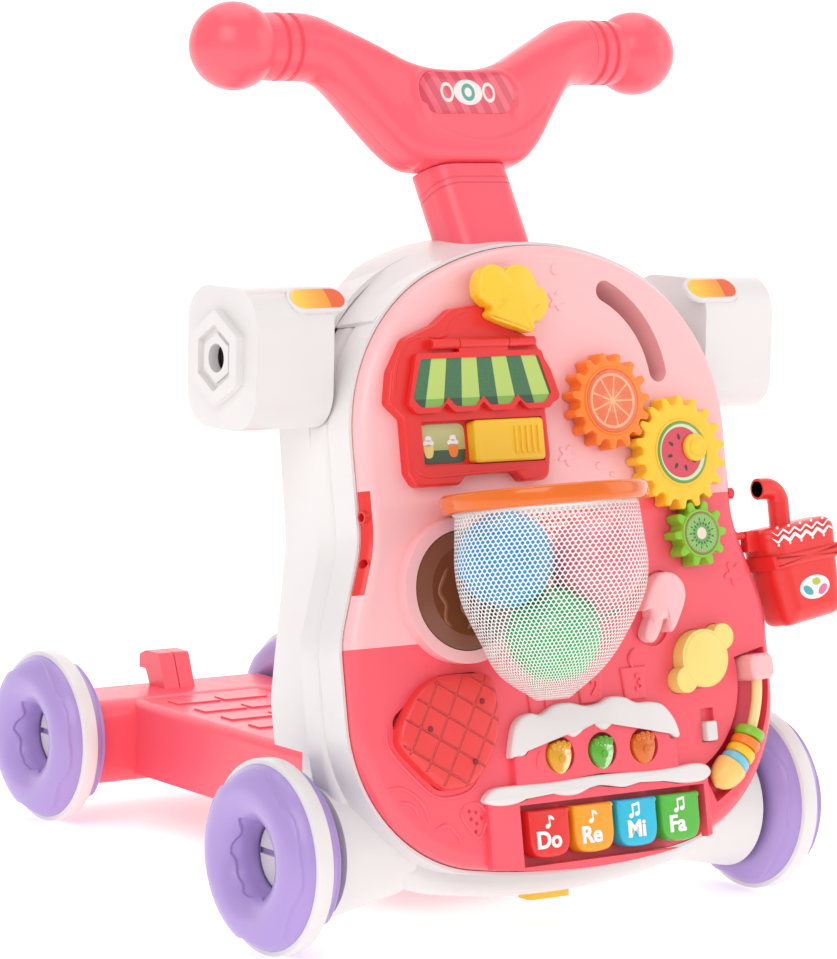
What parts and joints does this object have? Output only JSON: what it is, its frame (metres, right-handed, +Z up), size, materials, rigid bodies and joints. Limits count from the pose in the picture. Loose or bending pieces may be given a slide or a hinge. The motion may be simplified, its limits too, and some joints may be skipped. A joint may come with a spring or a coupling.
{
  "type": "baby push walker",
  "caption": "Push-along baby walker with a tilted play panel, wing handlebar, ball hoop with net, turning gears, keys and ring-shaped wheels on a low deck.",
  "frame": {"origin": "on the floor, midway between the two axles and on the symmetric middle plane", "axes": "+X to the right seen from the front, +Y back from the play panel along the deck, +Z up; the play panel faces -Y"},
  "size_m": [0.4404, 0.6466, 0.5918],
  "materials": {
    "white_plastic": "glossy injection-moulded ABS, white",
    "coral_plastic": "semi-gloss moulded plastic, coral pink",
    "coral_panel": "semi-gloss moulded plastic, deep pink",
    "light_pink_plastic": "semi-gloss moulded plastic, pale pink",
    "purple_plastic": "glossy moulded plastic, lilac",
    "red_plastic": "glossy moulded plastic, red",
    "yellow_plastic": "glossy moulded plastic, yellow",
    "orange_plastic": "glossy moulded plastic, orange",
    "green_plastic": "glossy moulded plastic, green",
    "cyan_plastic": "glossy moulded plastic, cyan",
    "candy_plastic": "glossy moulded plastic, pale yellow",
    "brown_plastic": "glossy moulded plastic, brown",
    "print_film": "printed gloss insert",
    "net_mesh": "knitted polyester mesh",
    "ball_plastic": "thin blow-moulded play balls",
    "rod_plastic": "glossy moulded rod",
    "axle_steel": "plain steel rod",
    "battery_can": "plain battery cans",
    "board": "circuit board and speaker",
    "back_plastic": "matt moulded plastic, pale pink"
  },
  "bodies": {
    "chassis": {"rear_shell": "white_plastic", "front_shell": "white_plastic", "arm_shell_left": "white_plastic", "arm_shell_right": "white_plastic", "leg_sockets": "white_plastic", "arm_badges": "orange_plastic", "steering_column": "coral_plastic", "handlebar_front_shell": "coral_plastic", "handlebar_rear_shell": "coral_plastic", "handlebar_badge": "print_film", "grip_knobs": "coral_plastic", "deck_shell": "coral_plastic", "deck_base": "coral_plastic", "deck_hook": "coral_plastic", "axles": "axle_steel"},
    "panel": {"panel_upper": "light_pink_plastic", "panel_lower": "coral_panel", "panel_back": "back_plastic", "battery_cover": "back_plastic", "batteries": "battery_can", "sound_module": "board", "van_housing": "red_plastic", "cake_icing": "white_plastic", "hoop": "orange_plastic", "net": "net_mesh", "play_balls": "ball_plastic", "bead_rod": "rod_plastic", "bead_cream": "light_pink_plastic", "bead_cone": "yellow_plastic", "side_sockets": "red_plastic"},
    "wheel_front_right": {"wheel_core_front_right": "white_plastic", "wheel_rings_front_right": "purple_plastic"},
    "wheel_front_left": {"wheel_core_front_left": "white_plastic", "wheel_rings_front_left": "purple_plastic"},
    "wheel_rear_right": {"wheel_core_rear_right": "white_plastic", "wheel_rings_rear_right": "purple_plastic"},
    "wheel_rear_left": {"wheel_core_rear_left": "white_plastic", "wheel_rings_rear_left": "purple_plastic"},
    "gear_yellow": {"gear_yellow": "yellow_plastic"},
    "gear_orange": {"gear_orange": "orange_plastic"},
    "gear_green": {"gear_green": "green_plastic"},
    "chef_hat": {"chef_hat": "yellow_plastic"},
    "van_shutter": {"van_shutter": "yellow_plastic"},
    "donut_pad": {"donut_pad": "brown_plastic"},
    "waffle_pad": {"waffle_pad": "coral_panel"},
    "popsicle": {"popsicle": "light_pink_plastic"},
    "candy": {"candy": "candy_plastic"},
    "fruit_button_yellow": {"fruit_button_yellow": "yellow_plastic"},
    "fruit_button_green": {"fruit_button_green": "green_plastic"},
    "fruit_button_orange": {"fruit_button_orange": "orange_plastic"},
    "key_do": {"key_do": "red_plastic"},
    "key_re": {"key_re": "orange_plastic"},
    "key_mi": {"key_mi": "cyan_plastic"},
    "key_fa": {"key_fa": "green_plastic"},
    "power_switch": {"power_switch": "white_plastic"},
    "stacking_rings": {"stacking_rings": "orange_plastic"},
    "drink_cup": {"drink_cup": "red_plastic"},
    "release_tab": {"release_tab": "yellow_plastic"},
    "flap": {"flap_frame": "red_plastic", "flap_window": "print_film"}
  },
  "joints": [
    {"name": "spin_front_right", "type": "hinge", "parent": "chassis", "child": "wheel_front_right", "pos_m": [0.195, -0.215, 0.062], "axis": [1, 0, 0], "continuous": true},
    {"name": "spin_front_left", "type": "hinge", "parent": "chassis", "child": "wheel_front_left", "pos_m": [-0.195, -0.215, 0.062], "axis": [1, 0, 0], "continuous": true},
    {"name": "spin_rear_right", "type": "hinge", "parent": "chassis", "child": "wheel_rear_right", "pos_m": [0.109, 0.215, 0.062], "axis": [1, 0, 0], "continuous": true},
    {"name": "spin_rear_left", "type": "hinge", "parent": "chassis", "child": "wheel_rear_left", "pos_m": [-0.109, 0.215, 0.062], "axis": [1, 0, 0], "continuous": true},
    {"name": "panel_lift_off", "type": "slide", "parent": "chassis", "child": "panel", "axis": [0, -0.9829, 0.184], "range_m": [0, 0.05]},
    {"name": "turn_yellow", "type": "hinge", "parent": "panel", "child": "gear_yellow", "pos_m": [0.095, -0.23971, 0.30407], "axis": [0, -0.9829, 0.184], "continuous": true},
    {"name": "turn_orange", "type": "hinge", "parent": "panel", "child": "gear_orange", "pos_m": [0.04146, -0.23314, 0.33917], "axis": [0, -0.9829, 0.184], "continuous": true},
    {"name": "turn_green", "type": "hinge", "parent": "panel", "child": "gear_green", "pos_m": [0.10533, -0.24957, 0.25137], "axis": [0, -0.9829, 0.184], "continuous": true},
    {"name": "turn_hat", "type": "hinge", "parent": "panel", "child": "chef_hat", "pos_m": [-0.033, -0.22874, 0.40508], "axis": [0, -0.9829, 0.184], "range_deg": [-4, 14]},
    {"name": "open_flap", "type": "hinge", "parent": "panel", "child": "flap", "pos_m": [-0.0568, -0.23619, 0.38104], "axis": [-1, 0, 0], "range_deg": [0, 75]},
    {"name": "slide_shutter", "type": "slide", "parent": "panel", "child": "van_shutter", "axis": [-1, 0, 0], "range_m": [0, 0.038]},
    {"name": "press_donut", "type": "slide", "parent": "panel", "child": "donut_pad", "axis": [0, 0.9829, -0.184], "range_m": [0, 0.003], "stiffness_N_per_m": 400, "springref_m": -0.002},
    {"name": "press_waffle", "type": "slide", "parent": "panel", "child": "waffle_pad", "axis": [0, 0.9829, -0.184], "range_m": [0, 0.003], "stiffness_N_per_m": 400, "springref_m": -0.002},
    {"name": "press_fruit_yellow", "type": "slide", "parent": "panel", "child": "fruit_button_yellow", "axis": [0, 0.9829, -0.184], "range_m": [0, 0.002], "stiffness_N_per_m": 250, "springref_m": -0.002},
    {"name": "press_fruit_green", "type": "slide", "parent": "panel", "child": "fruit_button_green", "axis": [0, 0.9829, -0.184], "range_m": [0, 0.002], "stiffness_N_per_m": 250, "springref_m": -0.002},
    {"name": "press_fruit_orange", "type": "slide", "parent": "panel", "child": "fruit_button_orange", "axis": [0, 0.9829, -0.184], "range_m": [0, 0.002], "stiffness_N_per_m": 250, "springref_m": -0.002},
    {"name": "lift_popsicle", "type": "slide", "parent": "panel", "child": "popsicle", "axis": [0, -0.9829, 0.184], "range_m": [0, 0.025]},
    {"name": "lift_candy", "type": "slide", "parent": "panel", "child": "candy", "axis": [0, -0.9829, 0.184], "range_m": [0, 0.025]},
    {"name": "press_key_do", "type": "hinge", "parent": "panel", "child": "key_do", "pos_m": [-0.0326, -0.27488, 0.0846], "axis": [1, 0, 0], "range_deg": [0, 3], "stiffness_Nm_per_rad": 0.4, "springref_deg": -5.73},
    {"name": "press_key_re", "type": "hinge", "parent": "panel", "child": "key_re", "pos_m": [0.0028, -0.27488, 0.0846], "axis": [1, 0, 0], "range_deg": [0, 3], "stiffness_Nm_per_rad": 0.4, "springref_deg": -5.73},
    {"name": "press_key_mi", "type": "hinge", "parent": "panel", "child": "key_mi", "pos_m": [0.0382, -0.27488, 0.0846], "axis": [1, 0, 0], "range_deg": [0, 3], "stiffness_Nm_per_rad": 0.4, "springref_deg": -5.73},
    {"name": "press_key_fa", "type": "hinge", "parent": "panel", "child": "key_fa", "pos_m": [0.0736, -0.27488, 0.0846], "axis": [1, 0, 0], "range_deg": [0, 3], "stiffness_Nm_per_rad": 0.4, "springref_deg": -5.73},
    {"name": "slide_switch", "type": "slide", "parent": "panel", "child": "power_switch", "axis": [0, 0.184, 0.9829], "range_m": [0, 0.008]},
    {"name": "move_rings", "type": "hinge", "parent": "panel", "child": "stacking_rings", "pos_m": [0.0735, -0.2703, 0.15801], "axis": [0, -0.9829, 0.184], "range_deg": [0, 24]},
    {"name": "pull_cup", "type": "slide", "parent": "panel", "child": "drink_cup", "axis": [1, 0, 0], "range_m": [0, 0.03]},
    {"name": "press_release_tab", "type": "slide", "parent": "chassis", "child": "release_tab", "axis": [0, 0, 1], "range_m": [0, 0.003], "stiffness_N_per_m": 600, "springref_m": -0.002}
  ],
  "couplings": [
    {"joint": "turn_orange", "follows": "turn_yellow", "ratio": -1.2},
    {"joint": "turn_green", "follows": "turn_yellow", "ratio": -1.8}
  ]
}
